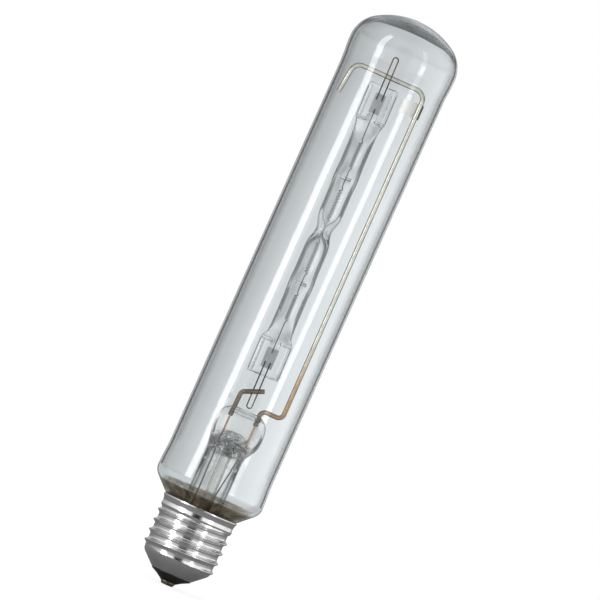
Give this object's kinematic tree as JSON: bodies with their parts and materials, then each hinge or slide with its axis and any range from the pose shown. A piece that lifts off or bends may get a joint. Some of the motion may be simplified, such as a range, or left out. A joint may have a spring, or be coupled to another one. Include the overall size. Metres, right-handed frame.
{
  "type": "tubular light bulb",
  "caption": "Clear tubular lamp with a domed glass tube, a quartz burner on bent support wires and a screw cap, for a lamp holder.",
  "frame": {"origin": "centre of the flat solder tip under the cap, where the lamp meets the holder's contact", "axes": "+Z along the lamp from the cap to the domed end, +X to the right and -Y towards the viewer in the picture"},
  "size_m": [0.038, 0.038, 0.2051],
  "materials": {
    "clear_glass": "clear, glossy",
    "stem_glass": "clear, glossy",
    "quartz": "clear, glossy",
    "foil": "dull rolled foil",
    "lead_wire": "dark drawn wire",
    "tungsten": "dark grey wire",
    "nickel_wire": "bright drawn wire with heat tint",
    "getter_metal": "satin sheet",
    "copper_wire": "drawn wire",
    "cement": "mottled matt",
    "cap_metal": "satin formed sheet",
    "black_glass": "glossy black",
    "contact_brass": "plain sheet",
    "solder": "dull, slightly rough"
  },
  "bodies": {
    "root": {"outer_bulb": "clear_glass", "stem": "stem_glass", "exhaust_tube": "stem_glass", "burner_tube": "quartz", "upper_foil": "foil", "lower_foil": "foil", "upper_lead_loop": "lead_wire", "lower_lead_loop": "lead_wire", "filament": "tungsten", "long_support_wire": "nickel_wire", "short_support_wire": "nickel_wire", "getter_strip": "getter_metal", "left_seal_wire": "copper_wire", "right_seal_wire": "copper_wire", "left_feed_wire": "copper_wire", "right_feed_wire": "copper_wire", "basing_cement": "cement", "cap_shell": "cap_metal", "cap_insulator": "black_glass", "centre_contact": "contact_brass", "centre_solder": "solder"}
  },
  "joints": []
}
